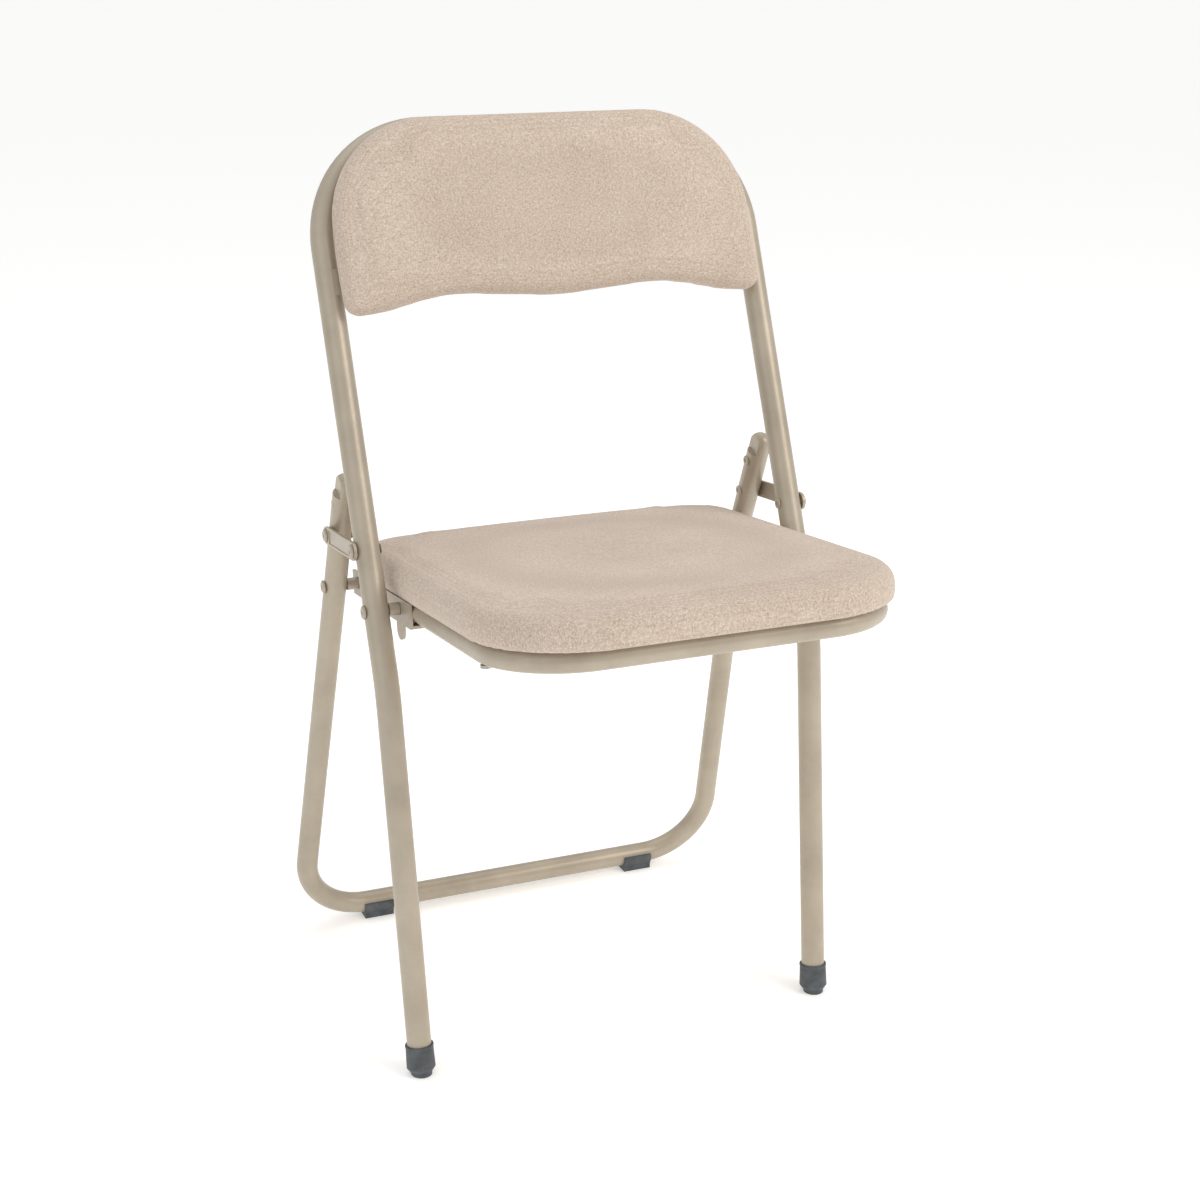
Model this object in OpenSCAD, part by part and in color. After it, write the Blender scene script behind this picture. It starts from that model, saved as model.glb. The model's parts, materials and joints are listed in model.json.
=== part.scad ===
// Padded tubular folding chair. Millimetres, +Z up, the sitter faces -Y.
// "Left" and "right" are the sitter's: left is +X, right is -X.
// Frame sizes are given from the front feet (y = 0) and the floor (z = 0). The whole chair is
// then moved back to front so that the origin is the middle of its footprint box on the floor.

/* [Front frame] */
// Outer diameter of the front frame tube
front_tube_d = 21; // [19:0.5:23]
// Wall of the front and rear tubes
tube_wall = 1.2; // [0.9:0.1:1.6]
// Half the spacing of the front feet, at the floor
foot_half_w = 190; // [180:1:196]
// Half the spacing of the uprights above the bend
upright_half_w = 196.5; // [190:0.5:220]
// Height of the bend in the front legs
leg_bend_z = 336; // [300:1:350]
// How far the bend stands behind the feet
leg_bend_y = 49.6; // [35:0.2:60]
// Lean of the uprights above the bend, from vertical
upright_lean = 24; // [18:0.5:26]
// Length of the uprights from the bend to the top bar
upright_len = 472; // [400:1:560]
// Radius of the top corners
arch_r = 100; // [70:1:120]
// Radius of the leg bend
leg_bend_r = 140; // [90:5:200]

/* [Rear frame] */
// Outer diameter of the rear frame tube
rear_tube_d = 20; // [18:0.5:21]
// Distance from the front feet back to the rear floor bar
rear_bar_y = 299.3; // [270:1:340]
// Half the spacing of the rear legs at the floor
rear_half_w = 214.5; // [212:0.5:235]
// Height of the bend in the rear legs
rear_bend_z = 391; // [388:0.5:398]
// Distance of that bend behind the front feet
rear_bend_y = 195.4; // [190:0.2:200]
// Lean of the rear legs above their bend, towards the front
rear_top_lean = 22.5; // [18:0.5:25]
// Radius of the bend in the rear legs
rear_bend_r = 80; // [60:5:90]
// Radius of the corners into the floor bar
rear_corner_r = 62; // [45:1:80]
// Thickness of the glide under the floor bar
glide_under = 4; // [2.5:0.5:6]
// Distance of each glide from the middle
glide_x = 139; // [100:1:145]
// Length of each glide
glide_len = 29; // [20:1:40]

/* [Pivots] */
// Height of the seat pivot on the front frame
seat_pivot_z = 396; // [394:0.5:397]
// Height of the link pivot on the front frame
link_front_z = 443; // [440:0.5:446]
// Height of the seat pivot on the rear frame
rear_pivot_z = 380.5; // [379:0.5:381]
// Height of the link pivot on the rear frame
link_rear_z = 434; // [431:0.5:437]
// Shank diameter of every pivot rivet
rivet_d = 6; // [5:0.5:7]
// Running clearance round a rivet shank, on the radius
run_gap = 0.06; // [0.03:0.01:0.10]
// Gap left between two parts that turn past each other
side_gap = 0.3; // [0.2:0.05:0.6]
// Thickness of the link straps
link_t = 2.5; // [2:0.5:4]
// Width of the link straps
link_w = 15.5; // [13:0.5:20]

/* [Seat] */
// Outer diameter of the seat frame tube
seat_tube_d = 19; // [16:0.5:20]
// Half the spacing of the seat side rails
seat_half_w = 165; // [158:0.5:165]
// Distance of the front rail in front of the front feet
seat_front_y = 166; // [140:1:190]
// Height of the front rail
seat_front_z = 425.5; // [423:0.5:427]
// Slope of the seat down to the rear
seat_tilt = 7; // [6:0.2:8]
// Radius of the front corners of the seat frame
seat_corner_r = 68; // [50:1:90]
// Length of the seat side rails, from the front rail
seat_rail_len = 231; // [220:1:232]
// Half the width of the seat pad
pad_half_w = 180; // [176:0.5:182]
// How far the pad stands out in front of the front rail
pad_front = 24; // [16:1:34]
// Length of the pad behind the front rail
pad_rear = 384; // [370:1:395]
// Corner radius of the pad at the front
pad_front_r = 92; // [60:1:110]
// Corner radius of the pad at the rear
pad_rear_r = 52; // [30:1:80]
// Thickness of the whole seat pad
pad_t = 30; // [24:1:45]
// Thickness of the seat board
seat_board_t = 9; // [6:0.5:12]

/* [Back pad] */
// Half the width of the back pad
back_half_w = 191; // [170:0.5:192]
// Height of the back pad at its middle, along the lean
back_h = 160; // [120:1:200]
// Radius of its top corners
back_top_r = 92; // [60:1:100]
// Thickness of the whole back pad
back_t = 22.5; // [18:0.5:34]
// Thickness of the back board
back_board_t = 5; // [4:0.5:8]
// How far the top edge stands above the top bar's middle line
back_rise = 5; // [0:0.5:8]
// Depth of the two hollows in the lower edge, from its corners
back_hollow = 13; // [6:0.5:20]
// How far the middle of the lower edge comes down again
back_bulge = 5.5; // [0:0.5:9]

/* [Hidden] */
$fn = 64;

paint = "#BFB09A";
fabric = "#CDB9A9";
plastic = "#474C4F";
plywood = "#C9A878";
foam = "#E9E0C8";
zinc = "#B9B6AE";

contact_gap = 0.05;     // between parts that are fixed face to face
bend_grip = 0.5;        // overlap of a straight with its bend
bend_swell = 0.03;      // extra radius of a bend, inside and out
cover_t = 1.1;          // fabric cover
cap_wall = 1.6;         // rubber foot cap
cap_h = 27;
cap_floor = 5;          // rubber under the tube end
glide_wall = 3;
tip_len = 19;           // rear leg tip above the tube end
tip_plug = 16;          // and inside it
tip_t = 12;
plate_t = 2.5;          // seat bracket steel
bracket_front = 30;     // bracket in front of the seat pivot
bracket_rear = 14;      // and behind the rear pivot
flange_w = 16;
flange_start = 16;      // upper flange, behind the seat pivot
flange_len = 62;
lobe_r = 8.5;           // rounded lobe under the seat pivot
lobe_drop = 18;
slot_gap = 0.6;         // round the rear pin in its slot
fold_seat = 65;         // how far each piece has turned when the chair is folded
fold_link = 76;
fold_rear = 27.8;
tip_rise = 41;          // rear tube above the link pivot
spread_gap = 0.35;      // off the rear leg, which spreads under a rivet head
head_h = 1.8;
head_r = 6;
tail_r = 4.6;
spacer_r = 5.3;
tab_t = 2;
tab_w = 22;
tab_reach = 30;         // back pad tabs, inwards from the tube's middle
top_tab_x = 70;
tab_end = 2;            // tabs end short of the tube's middle
back_head_h = 2.2;
seat_head_h = 2.4;
back_screw_r = 2;
seat_screw_r = 2.4;
cross_bar_r = 6;
cross_bar_back = 7;     // cross bar behind the rear pivot
foot_corner_r = 12;     // small lower corners of the back pad

front_r = front_tube_d / 2;
rear_r = rear_tube_d / 2;
rail_r = seat_tube_d / 2;
rivet_r = rivet_d / 2;
bar_z = glide_under + rear_r;
back_reach = rear_bar_y + rear_r + glide_wall;
front_reach = seat_front_y + pad_front * cos(seat_tilt) - (rail_r + 0.1) * sin(seat_tilt);
y_mid = (back_reach - front_reach) / 2;

// The folding linkage lies in a vertical plane on each side: [y, z] of the points on its tubes.
function front_at(z) = leg_bend_y + (z - leg_bend_z) * tan(upright_lean);
function rear_low_at(z) = rear_bend_y
    + (rear_bend_z - z) * (rear_bar_y - rear_bend_y) / (rear_bend_z - bar_z);
function rear_at(z) = z > rear_bend_z ? rear_bend_y - (z - rear_bend_z) * tan(rear_top_lean)
                                      : rear_low_at(z);
// Half spacing of the rear legs: parallel above the bend, spreading below it.
rear_top_half_w = upright_half_w + front_r - rear_r;
function rear_half_at(z) = z > rear_bend_z ? rear_top_half_w
    : rear_top_half_w + (rear_bend_z - z) * (rear_half_w - rear_top_half_w) / (rear_bend_z - bar_z);

seat_pivot = [front_at(seat_pivot_z), seat_pivot_z];
link_front = [front_at(link_front_z), link_front_z];
rear_pivot = [rear_at(rear_pivot_z), rear_pivot_z];
link_rear = [rear_at(link_rear_z), link_rear_z];
tip_z = link_rear_z + tip_rise;           // where the rear tube ends

outer_x = upright_half_w + front_r;       // outer face of both tubes at the link
link_x = outer_x + side_gap;              // inner face of the link
plate_x = seat_half_w + rail_r + contact_gap;      // inner face of the seat bracket
plate_out = plate_x + plate_t;

// ---------------------------------------------------------------- tube paths

function unit(v) = v / norm(v);
// Length that a bend of radius r takes from each of the two straights that meet at b.
function bend_cut(a, b, c, r) = r * tan(acos(unit(b - a) * unit(c - b)) / 2);
function cut_at(p, rr, i) = i == 0 || i == len(p) - 1 ? 0 : bend_cut(p[i-1], p[i], p[i+1], rr[i]);

// Ring profile of a tube; a wall of 0 is solid.
module ring(r, wall) difference() {
    circle(r = r);
    circle(r = r - wall);
}

module straight(a, b, r, wall) {
    d = b - a;
    translate(a) rotate([0, acos(d.z / norm(d)), atan2(d.y, d.x)]) linear_extrude(norm(d)) ring(r, wall);
}

module bend(a, b, c, bend_r, r, wall) {
    u = unit(b - a);
    w = unit(c - b);
    turn = acos(u * w);
    start = b - u * bend_cut(a, b, c, bend_r);
    side = unit(w - u * (u * w));         // from the start of the bend to its centre
    centre = start + side * bend_r;
    n = cross(-side, u);
    multmatrix([[-side.x, u.x, n.x, centre.x],
                [-side.y, u.y, n.y, centre.y],
                [-side.z, u.z, n.z, centre.z],
                [0, 0, 0, 1]])
        rotate_extrude(angle = turn) translate([bend_r, 0]) ring(r, wall);
}

// A tube along the points p, with bend radii rr (the ends' are not used). The bends are a hair
// thicker than the straights, which reach a little way into them.
module tube_path(p, rr, r, wall) {
    $fn = 36;
    last = len(p) - 1;
    for (i = [0:last - 1]) {
        u = unit(p[i+1] - p[i]);
        straight(p[i] + u * (cut_at(p, rr, i) - (i == 0 ? 0 : bend_grip)),
                 p[i+1] - u * (cut_at(p, rr, i + 1) - (i + 1 == last ? 0 : bend_grip)), r, wall);
    }
    for (i = [1:last - 1])
        bend(p[i-1], p[i], p[i+1], rr[i], r + bend_swell, wall + 2 * bend_swell);
}

module chair() translate([0, -y_mid, 0]) children();
// side = 1 is the sitter's left (+X), side = -1 the right.
module on_side(side) mirror([side > 0 ? 0 : 1, 0, 0]) children();
// A hole or shank along X at the linkage point q, from x0 to x1.
module across(q, x0, x1, r) translate([x0, q[0], q[1]]) rotate([0, 90, 0]) cylinder(h = x1 - x0, r = r);
// The seat's own frame: y runs back along the seat, z stands off it, from the front rail.
module on_seat() translate([0, -seat_front_y, seat_front_z]) rotate([-seat_tilt, 0, 0]) children();
function seat_v(q) = (q[0] + seat_front_y) * cos(seat_tilt) - (q[1] - seat_front_z) * sin(seat_tilt);
function seat_h(q) = (q[0] + seat_front_y) * sin(seat_tilt) + (q[1] - seat_front_z) * cos(seat_tilt);
// The back's own frame: x across, y up along the lean, z out of its front face.
module on_back() translate([0, leg_bend_y, leg_bend_z]) rotate([90 - upright_lean, 0, 0]) children();

// ---------------------------------------------------------------- front frame

top_y = leg_bend_y + upright_len * sin(upright_lean);
top_z = leg_bend_z + upright_len * cos(upright_lean);
leg_axis = unit([foot_half_w - upright_half_w, -leg_bend_y, -leg_bend_z]);
foot_point = [foot_half_w, 0, 0];
foot_end = foot_point - leg_axis * cap_floor;

module front_frame() color(paint) chair() difference() {
    tube_path([foot_end, [upright_half_w, leg_bend_y, leg_bend_z], [upright_half_w, top_y, top_z],
               [-upright_half_w, top_y, top_z], [-upright_half_w, leg_bend_y, leg_bend_z],
               [-foot_end.x, foot_end.y, foot_end.z]],
              [0, leg_bend_r, arch_r, arch_r, leg_bend_r, 0], front_r, tube_wall);
    for (side = [-1, 1]) on_side(side) for (q = [seat_pivot, link_front])
        across(q, upright_half_w - 20, upright_half_w + 20, rivet_r + contact_gap);
}

// Cap along the leg, with an upright round sole under it.
module foot_cap() {
    translate(foot_point) cylinder(h = cap_floor - 1, r = front_r - 1.4);
    translate(foot_point)
        rotate([0, acos(-leg_axis.z), atan2(-leg_axis.y, -leg_axis.x)])
            rotate_extrude() polygon([
                [0, 2.8], [front_r - 0.6, 2.8], [front_r + cap_wall + 0.4, 6.5],
                [front_r + cap_wall - 0.1, cap_h - 3], [front_r + cap_wall + 0.3, cap_h - 1.2],
                [front_r + cap_wall, cap_h], [front_r + contact_gap, cap_h],
                [front_r + contact_gap, cap_floor - contact_gap], [0, cap_floor - contact_gap]]);
}
module front_foot_cap_left() color(plastic) chair() foot_cap();
module front_foot_cap_right() color(plastic) chair() on_side(-1) foot_cap();

// ---------------------------------------------------------------- back pad

pad_back_z = front_r + 0.1;              // rear face of the pad, off the tube's middle line
back_top = upright_len + back_rise;
back_low = back_top - back_h;            // lower edge at the middle
corner_low = back_low - back_hollow + back_bulge;   // lowest points of the lower corners
side_tab_s = corner_low + 32;            // height of the side tabs along the lean
tab_screw = 9;                           // screw from the tab's free end
back_screw_at = [[upright_half_w - tab_reach + tab_screw, side_tab_s],
                 [top_tab_x, upright_len - tab_reach + tab_screw]];

// Lower edge of the pad: two shallow hollows with a bulge between them.
hollow_x = back_half_w * 0.49;
corner_x = back_half_w - foot_corner_r;
function low_edge(x) = abs(x) < hollow_x
    ? back_low + back_bulge * (1 - cos(180 * abs(x) / hollow_x)) / 2
    : corner_low + back_hollow * (1 + cos(180 * (abs(x) - hollow_x) / (corner_x - hollow_x))) / 2;

// Outline of the back pad, drawn in by "inset" all round.
function back_outline(inset) = let (w = back_half_w - inset, rt = back_top_r - inset,
                                    rb = foot_corner_r - min(inset, 6), cx = w - rb) concat(
    [for (a = [0:7.5:90]) [w - rt + rt * cos(a), back_top - inset - rt + rt * sin(a)]],
    [for (a = [90:7.5:180]) [-(w - rt) + rt * cos(a), back_top - inset - rt + rt * sin(a)]],
    [for (a = [180:15:270]) [-cx + rb * cos(a), corner_low + inset + rb + rb * sin(a)]],
    [for (k = [1:31]) let (x = -cx + 2 * cx * k / 32) [x, low_edge(x * corner_x / cx) + inset]],
    [for (a = [270:15:360]) [cx + rb * cos(a), corner_low + inset + rb + rb * sin(a)]]);
module back_slab(inset, z0, z1) translate([0, 0, z0]) linear_extrude(z1 - z0) polygon(back_outline(inset));

board_z = pad_back_z + cover_t + contact_gap;
foam_z = board_z + back_board_t + contact_gap;
back_face = pad_back_z + back_t;
edge_step = 4;                           // the cover's front edge is drawn in by this

module back_screw_holes(z0, z1, r) for (x = [-1, 1], p = back_screw_at)
    translate([x * p[0], p[1], z0]) cylinder(h = z1 - z0, r = r);

// Two tabs reach in from the uprights and two hang from the top bar.
module back_mount_tabs() color(paint) chair() on_back() difference() {
    for (side = [-1, 1]) on_side(side) {
        translate([upright_half_w - tab_reach, side_tab_s - tab_w / 2, front_r - tab_t])
            cube([tab_reach - tab_end, tab_w, tab_t]);
        translate([top_tab_x - tab_w / 2, upright_len - tab_reach, front_r - tab_t])
            cube([tab_w, tab_reach - tab_end, tab_t]);
    }
    for (side = [-1, 1]) translate([side * upright_half_w, 0, 0])
        rotate([-90, 0, 0]) cylinder(h = side_tab_s + tab_w, r = front_r + contact_gap);
    translate([-upright_half_w, upright_len, 0])
        rotate([0, 90, 0]) cylinder(h = 2 * upright_half_w, r = front_r + contact_gap);
    back_screw_holes(0, front_r + 1, back_screw_r + 0.2);
}

module back_board() color(plywood) chair() difference() {
    on_back() back_slab(cover_t + 2, board_z, board_z + back_board_t);
    on_back() back_screw_holes(0, foam_z - contact_gap, back_screw_r + contact_gap);
}

module back_foam() color(foam) chair() on_back() {
    back_slab(cover_t + 2, foam_z, back_face - 6);
    back_slab(cover_t + edge_step + 1, back_face - 6, back_face - cover_t - contact_gap);
}

module back_cover() color(fabric) chair() difference() {
    on_back() {
        back_slab(0, pad_back_z, back_face - 5);
        back_slab(edge_step, back_face - 5, back_face);
    }
    on_back() {
        back_slab(cover_t + 1.9, board_z - contact_gap, back_face - 6 + contact_gap);
        back_slab(cover_t + edge_step + 0.9, back_face - 6, back_face - cover_t);
    }
    on_back() back_screw_holes(0, foam_z - contact_gap, back_screw_r + 0.2);
}

back_head_z = front_r - tab_t - contact_gap;
module back_screws() color(zinc) chair() on_back() {
    back_screw_holes(back_head_z - back_head_h, back_head_z, 2 * back_screw_r);
    back_screw_holes(back_head_z - 1, board_z + back_board_t - 0.8, back_screw_r);
}

// ---------------------------------------------------------------- rear frame

tip_point = [rear_top_half_w, rear_at(tip_z), tip_z];
rear_bend_point = [rear_top_half_w, rear_bend_y, rear_bend_z];
rear_corner = [rear_half_w, rear_bar_y, bar_z];
tip_rivet = [rear_at(tip_z - 9), tip_z - 9];

module rear_frame() color(paint) chair() difference() {
    tube_path([tip_point, rear_bend_point, rear_corner, [-rear_corner.x, rear_corner.y, rear_corner.z],
               [-rear_bend_point.x, rear_bend_point.y, rear_bend_point.z],
               [-tip_point.x, tip_point.y, tip_point.z]],
              [0, rear_bend_r, rear_corner_r, rear_corner_r, rear_bend_r, 0], rear_r, tube_wall);
    for (side = [-1, 1]) on_side(side) for (q = [rear_pivot, link_rear, tip_rivet])
        across(q, rear_top_half_w - 20, rear_top_half_w + 20, rivet_r + contact_gap);
}

// Solid tip in the top of a rear leg: flat sides, round end, a plug down the tube.
module leg_tip() difference() {
    translate(tip_point) rotate([rear_top_lean, 0, 0]) union() {
        translate([0, 0, -tip_plug]) cylinder(h = tip_plug + 1, r = rear_r - tube_wall - contact_gap);
        translate([0, 0, contact_gap]) intersection() {
            translate([-tip_t / 2, 0, 0]) rotate([90, 0, 90]) linear_extrude(tip_t) union() {
                translate([-rear_r, 0]) square([2 * rear_r, tip_len - rear_r]);
                translate([0, tip_len - rear_r]) circle(r = rear_r);
            }
            union() {
                cylinder(h = tip_len - rear_r, r = rear_r);
                translate([0, 0, tip_len - rear_r]) sphere(r = rear_r);
            }
        }
    }
    across(tip_rivet, rear_top_half_w - 20, rear_top_half_w + 20, rivet_r + contact_gap);
}
module rear_leg_tip_left() color(paint) chair() leg_tip();
module rear_leg_tip_right() color(paint) chair() on_side(-1) leg_tip();

// A domed head whose flat side is at x.
module rivet_head(q, x) translate([x, q[0], q[1]]) rotate([0, 90, 0]) rotate_extrude() polygon([
    [0, 0], [head_r, 0], [head_r, head_h * 0.35], [head_r - 1.4, head_h], [rivet_r - 0.8, head_h],
    [rivet_r - 1.6, head_h * 0.4], [0, head_h * 0.4]]);
// A rolled end whose flat side is at x, on the inner side.
module rivet_tail(q, x) translate([x, q[0], q[1]]) rotate([0, -90, 0]) rotate_extrude() polygon([
    [0, 0], [tail_r, 0], [tail_r - 0.4, 1], [rivet_r, 1.5], [rivet_r - 1, 1.5],
    [rivet_r - 1.6, 0.5], [0, 0.5]]);
// A riveted shank between x0 and x1, with a head outside and a rolled end inside.
module rivet(q, x0, x1) {
    across(q, x0 - 0.3, x1 + 0.6, rivet_r);
    rivet_head(q, x1);
    rivet_tail(q, x0);
}
// These are flush outside, where the link passes over them.
module rear_tip_rivets() color(paint) chair() for (side = [-1, 1]) on_side(side) {
    across(tip_rivet, rear_top_half_w - rear_r - 0.3, outer_x - contact_gap, rivet_r);
    rivet_tail(tip_rivet, rear_top_half_w - rear_r - contact_gap);
}

// Clip under the floor bar, open above.
module glide() translate([glide_x - glide_len / 2, rear_bar_y, bar_z]) rotate([90, 0, 90])
    linear_extrude(glide_len) difference() {
        union() {
            circle(r = rear_r + glide_wall);
            translate([-rear_r - glide_wall + 3, -bar_z]) square([2 * (rear_r + glide_wall - 3), bar_z - 3]);
        }
        circle(r = rear_r + contact_gap);
        translate([-40, -bar_z - 20]) square([80, 20]);
        translate([-40, 2]) square([80, 40]);
    }
module rear_glide_left() color(plastic) chair() glide();
module rear_glide_right() color(plastic) chair() on_side(-1) glide();

// ---------------------------------------------------------------- seat frame

pivot_v = seat_v(seat_pivot);
rear_pivot_v = seat_v(rear_pivot);
under_pad = rail_r + 0.1;                // underside of the pad, off the rail's middle line
plate_top = under_pad - contact_gap;
flange_z = plate_top - plate_t;          // underside of the upper flange
rail_under = -rail_r - contact_gap;
seat_screw_front = 62;                   // along the seat, through the rails
seat_screw_rear = pivot_v + 48;          // through the brackets' upper flanges

module seat_screw_holes(v, z0, z1, r) for (x = [-1, 1])
    translate([x * seat_half_w, v, z0]) cylinder(h = z1 - z0, r = r);

module seat_frame() color(paint) chair() on_seat() difference() {
    tube_path([[seat_half_w, seat_rail_len, 0], [seat_half_w, 0, 0], [-seat_half_w, 0, 0],
               [-seat_half_w, seat_rail_len, 0]],
              [0, seat_corner_r, seat_corner_r, 0], rail_r, tube_wall);
    seat_screw_holes(seat_screw_front, -rail_r - 2, rail_r + 2, seat_screw_r + contact_gap);
}

// Where the rear pivot's pin stands in the seat bracket, from open (t = 0) to folded (t = 1).
function turned(p, c, a) = c + [(p - c)[0] * cos(a) + (p - c)[1] * sin(a),
                                (p - c)[1] * cos(a) - (p - c)[0] * sin(a)];
function pin_at(t) = turned(turned(link_rear, link_front, fold_link * t)
                            + turned(rear_pivot - link_rear, [0, 0], fold_rear * t),
                            seat_pivot, -fold_seat * t);
function pin_way(t) = unit(pin_at(t + 0.01) - pin_at(t - 0.01));
function pin_side(t) = [-pin_way(t)[1], pin_way(t)[0]];
slot_r = rivet_r + slot_gap;
slot_steps = 12;
module pivot_slot() translate([plate_x - 1, 0, 0]) rotate([90, 0, 90]) linear_extrude(plate_t + 2)
    polygon(concat(
        [for (i = [0:slot_steps]) pin_at(i / slot_steps) + slot_r * pin_side(i / slot_steps)],
        [for (a = [20:20:160]) pin_at(1) + slot_r * (pin_side(1) * cos(a) + pin_way(1) * sin(a))],
        [for (i = [slot_steps:-1:0]) pin_at(i / slot_steps) - slot_r * pin_side(i / slot_steps)],
        [for (a = [20:20:160]) pin_at(0) - slot_r * (pin_side(0) * cos(a) + pin_way(0) * sin(a))]));

// Stamped side bracket: an upright plate beside the rail with a lobe under the seat pivot, a short
// flange under the rail's end and a long one under the pad.
bracket_start = pivot_v - bracket_front;
module bracket() difference() {
    on_seat() {
        translate([plate_x, 0, 0]) rotate([90, 0, 90]) linear_extrude(plate_t) {
            translate([bracket_start, rail_under - plate_t])
                square([rear_pivot_v + bracket_rear - bracket_start, plate_top - rail_under + plate_t]);
            translate([pivot_v - lobe_r, -lobe_drop]) square([2 * lobe_r, lobe_drop]);
            translate([pivot_v, -lobe_drop]) circle(r = lobe_r);
        }
        translate([plate_x - flange_w, bracket_start, rail_under - plate_t])
            cube([flange_w + 1, bracket_front - 2, plate_t]);
        translate([plate_x - flange_w, pivot_v + flange_start, flange_z])
            cube([flange_w + 1, flange_len, plate_t]);
    }
    across(seat_pivot, plate_x - 5, plate_out + 5, rivet_r + run_gap);
    pivot_slot();
    on_seat() seat_screw_holes(seat_screw_rear, 0, plate_top + 1, seat_screw_r + contact_gap);
}
module seat_bracket_left() color(paint) chair() bracket();
module seat_bracket_right() color(paint) chair() on_side(-1) bracket();

module seat_cross_bar() color(paint) chair() on_seat()
    translate([-plate_x + contact_gap, rear_pivot_v + cross_bar_back, rail_r - cross_bar_r - 0.3])
        rotate([0, 90, 0]) difference() {
            cylinder(h = 2 * (plate_x - contact_gap), r = cross_bar_r);
            translate([0, 0, -1]) cylinder(h = 2 * plate_x + 2, r = cross_bar_r - 1);
        }

// Outline of the seat pad, drawn in by "inset" all round.
function pad_corner(x, y, r, a0) = [for (a = [a0:7.5:a0 + 90]) [x + r * cos(a), y + r * sin(a)]];
function pad_outline(inset) = let (w = pad_half_w - inset, f = -pad_front + inset, b = pad_rear - inset,
                                   rf = max(pad_front_r - inset, 4), rr = max(pad_rear_r - inset, 4)) concat(
    pad_corner(w - rr, b - rr, rr, 0), pad_corner(-(w - rr), b - rr, rr, 90),
    pad_corner(-(w - rf), f + rf, rf, 180), pad_corner(w - rf, f + rf, rf, 270));
module pad_slab(inset, z0, z1) translate([0, 0, z0]) linear_extrude(z1 - z0) polygon(pad_outline(inset));

seat_board_z = under_pad + cover_t + contact_gap;
seat_foam_z = seat_board_z + seat_board_t + contact_gap;
pad_top = under_pad + pad_t;
hem = 40;                                // fabric turned under the board
board_inset = 7;                         // board and foam, in from the pad's edge

module seat_board() color(plywood) chair() on_seat() difference() {
    pad_slab(board_inset, seat_board_z, seat_board_z + seat_board_t);
    for (v = [seat_screw_front, seat_screw_rear])
        seat_screw_holes(v, 0, seat_board_z + seat_board_t - 1, seat_screw_r + contact_gap);
}

module seat_foam() color(foam) chair() on_seat() {
    pad_slab(board_inset, seat_foam_z, pad_top - 7);
    pad_slab(board_inset + 7, pad_top - 7, pad_top - cover_t - contact_gap);
}

module seat_cover() color(fabric) chair() on_seat() difference() {
    union() {
        pad_slab(0, under_pad, pad_top - 6);
        pad_slab(7, pad_top - 6, pad_top);
    }
    pad_slab(board_inset - 0.1, seat_board_z - contact_gap, pad_top - 7 + contact_gap);
    pad_slab(board_inset + 6.9, pad_top - 7, pad_top - cover_t);
    pad_slab(hem, under_pad - 1, seat_board_z);
    for (v = [seat_screw_front, seat_screw_rear])
        seat_screw_holes(v, 0, seat_board_z, seat_screw_r + 0.3);
}

module seat_screw_pair(v, head_z) {
    seat_screw_holes(v, head_z - 1, seat_board_z + seat_board_t - 2, seat_screw_r);
    seat_screw_holes(v, head_z - seat_head_h, head_z, 2 * seat_screw_r);
}
module seat_screws() color(zinc) chair() on_seat() {
    seat_screw_pair(seat_screw_front, rail_under);
    seat_screw_pair(seat_screw_rear, flange_z - contact_gap);
}

// ---------------------------------------------------------------- links and pivots

// Strap on the outer side of the front and rear tubes, with a shallow rim round its edge.
link_len = norm(link_rear - link_front);
module link() difference() {
    translate([link_x, link_front[0], link_front[1]])
        rotate([atan2(link_rear[1] - link_front[1], link_rear[0] - link_front[0]), 0, 0])
            rotate([90, 0, 90]) difference() {
                linear_extrude(link_t) {
                    for (p = [0, link_len]) translate([p, 0]) circle(r = link_w / 2);
                    translate([0, -link_w / 2]) square([link_len, link_w]);
                }
                translate([head_r + 3, -link_w / 2 + 1.8, link_t - 0.7])
                    cube([link_len - 2 * head_r - 6, link_w - 3.6, 2]);
            }
    for (q = [link_front, link_rear]) across(q, link_x - 5, link_x + link_t + 5, rivet_r + run_gap);
}
module link_left() color(paint) chair() link();
module link_right() color(paint) chair() on_side(-1) link();

link_head_x = link_x + link_t + side_gap;
module link_front_rivet() rivet(link_front, upright_half_w - front_r - contact_gap, link_head_x);
module link_rear_rivet() rivet(link_rear, rear_top_half_w - rear_r - contact_gap, link_head_x);
module link_front_rivet_left() color(paint) chair() link_front_rivet();
module link_front_rivet_right() color(paint) chair() on_side(-1) link_front_rivet();
module link_rear_rivet_left() color(paint) chair() link_rear_rivet();
module link_rear_rivet_right() color(paint) chair() on_side(-1) link_rear_rivet();

// The seat turns on this rivet, which is fixed in the upright.
module seat_pivot_rivet() rivet(seat_pivot, plate_x - side_gap, upright_half_w + front_r + contact_gap);
module seat_pivot_rivet_left() color(paint) chair() seat_pivot_rivet();
module seat_pivot_rivet_right() color(paint) chair() on_side(-1) seat_pivot_rivet();

module spacer(q, x0, x1) difference() {
    across(q, x0, x1, spacer_r);
    across(q, x0 - 1, x1 + 1, rivet_r + contact_gap);
}
module seat_pivot_spacer() spacer(seat_pivot, plate_out + side_gap, upright_half_w - front_r - contact_gap);
module seat_pivot_spacer_left() color(paint) chair() seat_pivot_spacer();
module seat_pivot_spacer_right() color(paint) chair() on_side(-1) seat_pivot_spacer();

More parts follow.
